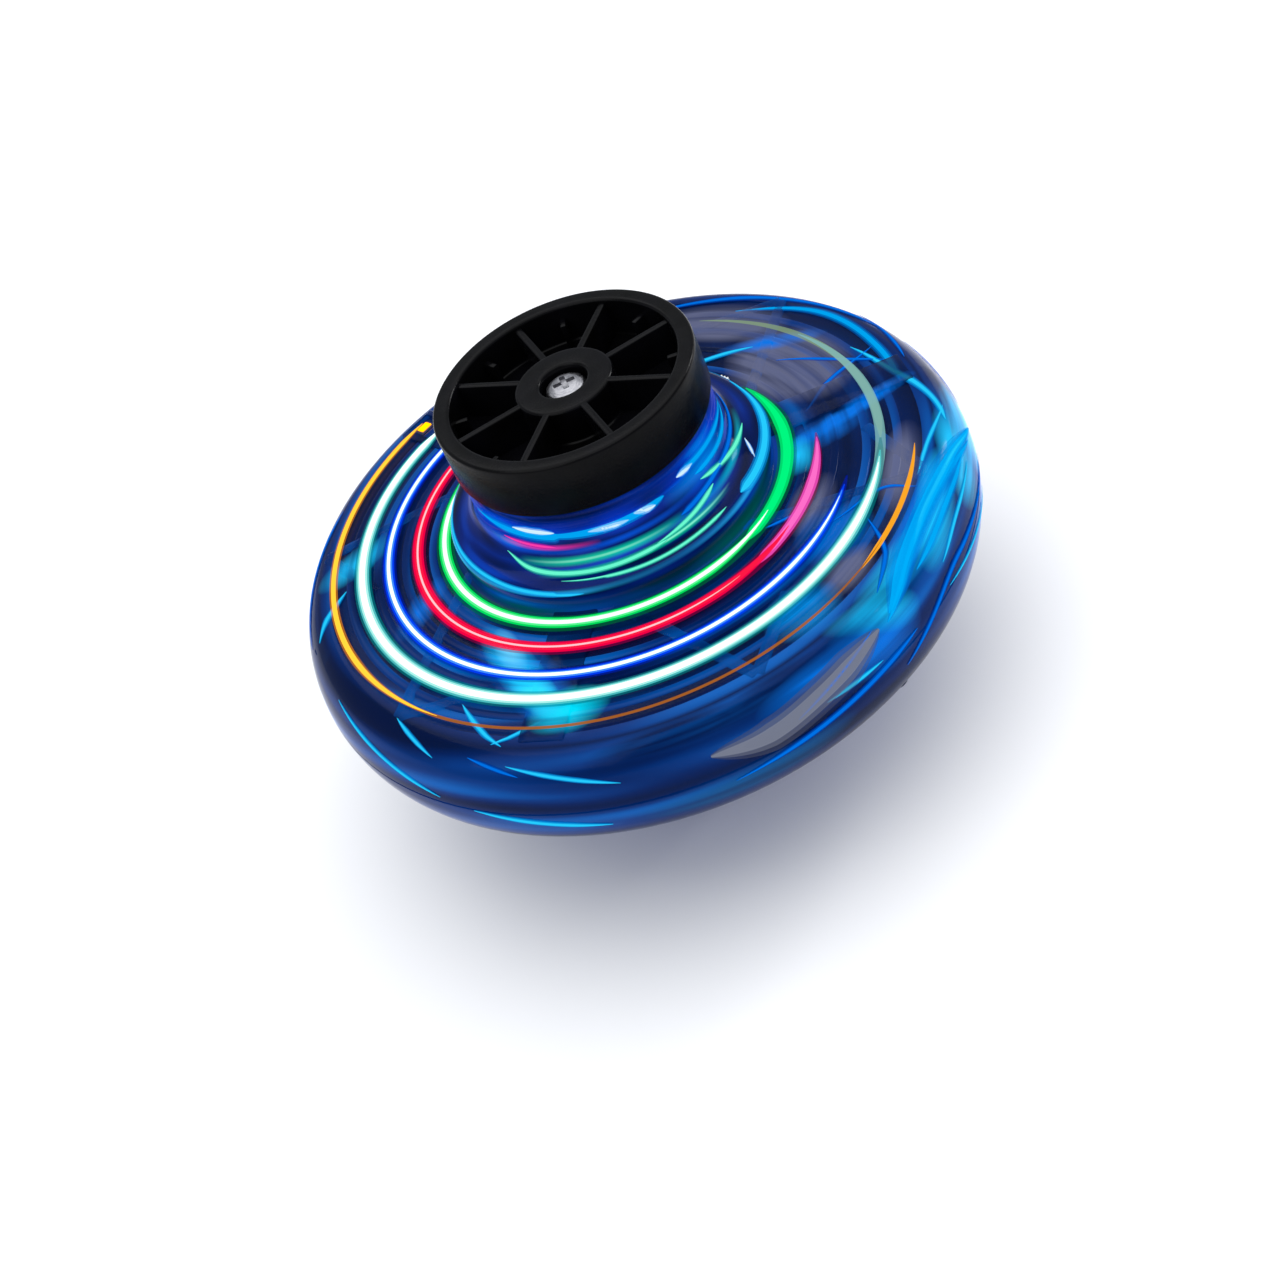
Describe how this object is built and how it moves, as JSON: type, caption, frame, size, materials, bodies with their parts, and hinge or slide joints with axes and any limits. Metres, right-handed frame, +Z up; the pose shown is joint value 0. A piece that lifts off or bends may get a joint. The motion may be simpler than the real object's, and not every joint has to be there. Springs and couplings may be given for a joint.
{
  "type": "light-up flying spinner",
  "caption": "Hand-held flying spinner: clear blue disc-shaped guard cage with coloured lights on its deck, a propeller inside, and a black slotted grip cap above and below.",
  "frame": {"origin": "centre of the lower grip cap's rest face, where the toy stands on a table", "axes": "+Z up the spin axis through both grip caps; +X along one wide arm of the cage, with the light arm 120 degrees from it and the charging socket facing +Y"},
  "size_m": [0.092, 0.092, 0.059],
  "materials": {
    "clear_blue": "clear tinted, polished",
    "black_grip": "fine satin",
    "black_plastic": "satin moulded",
    "steel": "ground and plated",
    "magnet": "nickel plated",
    "copper": "enamelled wire",
    "white_plastic": "moulded",
    "board": "solder resist",
    "foil": "crinkled foil",
    "red_lead": "insulation",
    "black_lead": "insulation",
    "led_green": "lit",
    "led_red": "lit",
    "led_blue": "lit",
    "led_white": "lit",
    "led_orange": "lit"
  },
  "bodies": {
    "cage": {"upper_frame": "clear_blue", "lower_frame": "clear_blue", "frame_screw_1": "steel", "frame_screw_2": "steel", "frame_screw_3": "steel", "motor_mount": "black_plastic", "mount_screw_1": "steel", "mount_screw_2": "steel", "mount_screw_3": "steel", "lower_hub_plate": "black_plastic", "plate_screw_1": "steel", "plate_screw_2": "steel", "plate_screw_3": "steel", "upper_bearing_outer_race": "steel", "lower_bearing_outer_race": "steel", "upper_bearing_balls": "steel", "lower_bearing_balls": "steel", "motor_can": "steel", "motor_magnet": "magnet", "motor_end_cap": "white_plastic", "control_board": "board", "controller_chip": "black_plastic", "charger_chip": "black_plastic", "motor_driver": "black_plastic", "battery": "foil", "battery_lead_red": "red_lead", "battery_lead_black": "black_lead", "motor_lead_red": "red_lead", "motor_lead_black": "black_lead", "usb_socket": "steel", "usb_tongue": "black_plastic", "switch_housing": "steel", "led_board": "board", "led_green": "led_green", "led_red": "led_red", "led_blue": "led_blue", "led_white": "led_white", "led_orange": "led_orange"},
    "upper_grip": {"upper_grip_cap": "black_grip", "upper_spindle": "steel", "upper_cap_screw": "steel", "upper_bearing_inner_race": "steel", "upper_spacer": "white_plastic"},
    "lower_grip": {"lower_grip_cap": "black_grip", "lower_spindle": "steel", "lower_cap_screw": "steel", "lower_bearing_inner_race": "steel", "lower_spacer": "white_plastic"},
    "rotor": {"propeller": "black_plastic", "propeller_nut": "steel", "motor_shaft": "steel", "motor_coil": "copper"},
    "switch": {"switch_knob": "white_plastic"}
  },
  "joints": [
    {"name": "upper_grip_spin", "type": "hinge", "parent": "cage", "child": "upper_grip", "pos_m": [0, 0, 0.0525], "axis": [0, 0, 1], "continuous": true},
    {"name": "lower_grip_spin", "type": "hinge", "parent": "cage", "child": "lower_grip", "pos_m": [0, 0, 0.0065], "axis": [0, 0, 1], "continuous": true},
    {"name": "propeller_spin", "type": "hinge", "parent": "cage", "child": "rotor", "pos_m": [0, 0, 0.0295], "axis": [0, 0, 1], "continuous": true},
    {"name": "power_switch", "type": "slide", "parent": "cage", "child": "switch", "axis": [-0.5, 0.866, 0], "range_m": [0, 0.002]}
  ]
}
